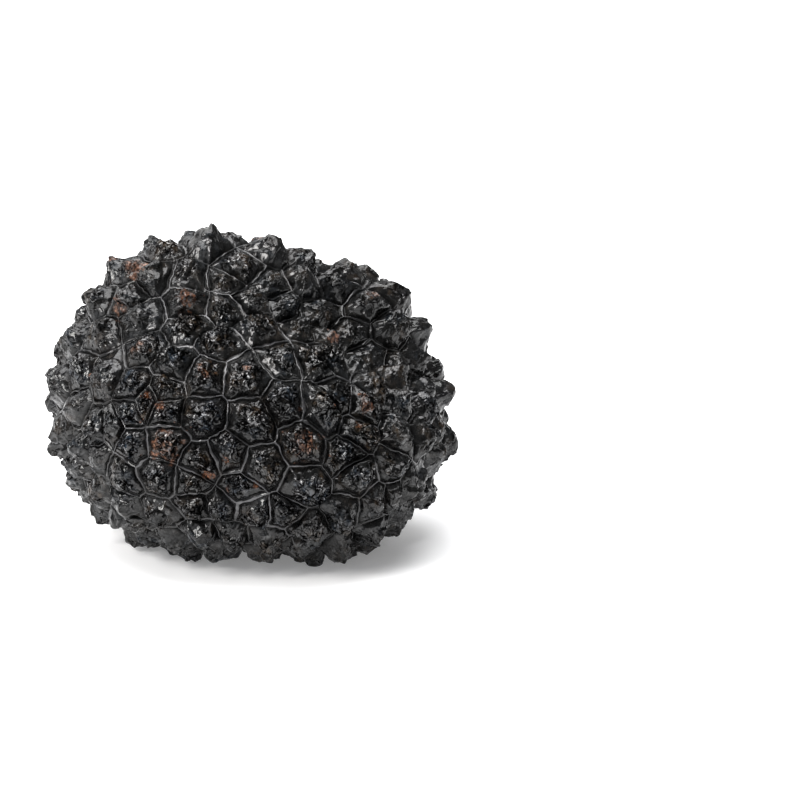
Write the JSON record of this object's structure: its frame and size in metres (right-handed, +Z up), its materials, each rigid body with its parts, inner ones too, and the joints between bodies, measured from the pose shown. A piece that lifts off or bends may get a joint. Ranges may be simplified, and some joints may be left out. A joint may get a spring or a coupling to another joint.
{
  "type": "summer truffle",
  "caption": "Black fungus fruit body: a lobed round lump covered in low many-sided warts with a fine raised net in the grooves between them, resting on a small flat spot.",
  "frame": {"origin": "on the level of the flat spot it rests on, under the middle of its bounding box", "axes": "+Z up, +X to the right along the longest extent as seen from the side in the picture, -Y towards that view"},
  "size_m": [0.0556, 0.0466, 0.0431],
  "materials": {
    "skin": "black, hard and glossy as if wet, with rough warts and a few rusty brown scars"
  },
  "bodies": {
    "root": {"truffle": "skin"}
  },
  "joints": []
}
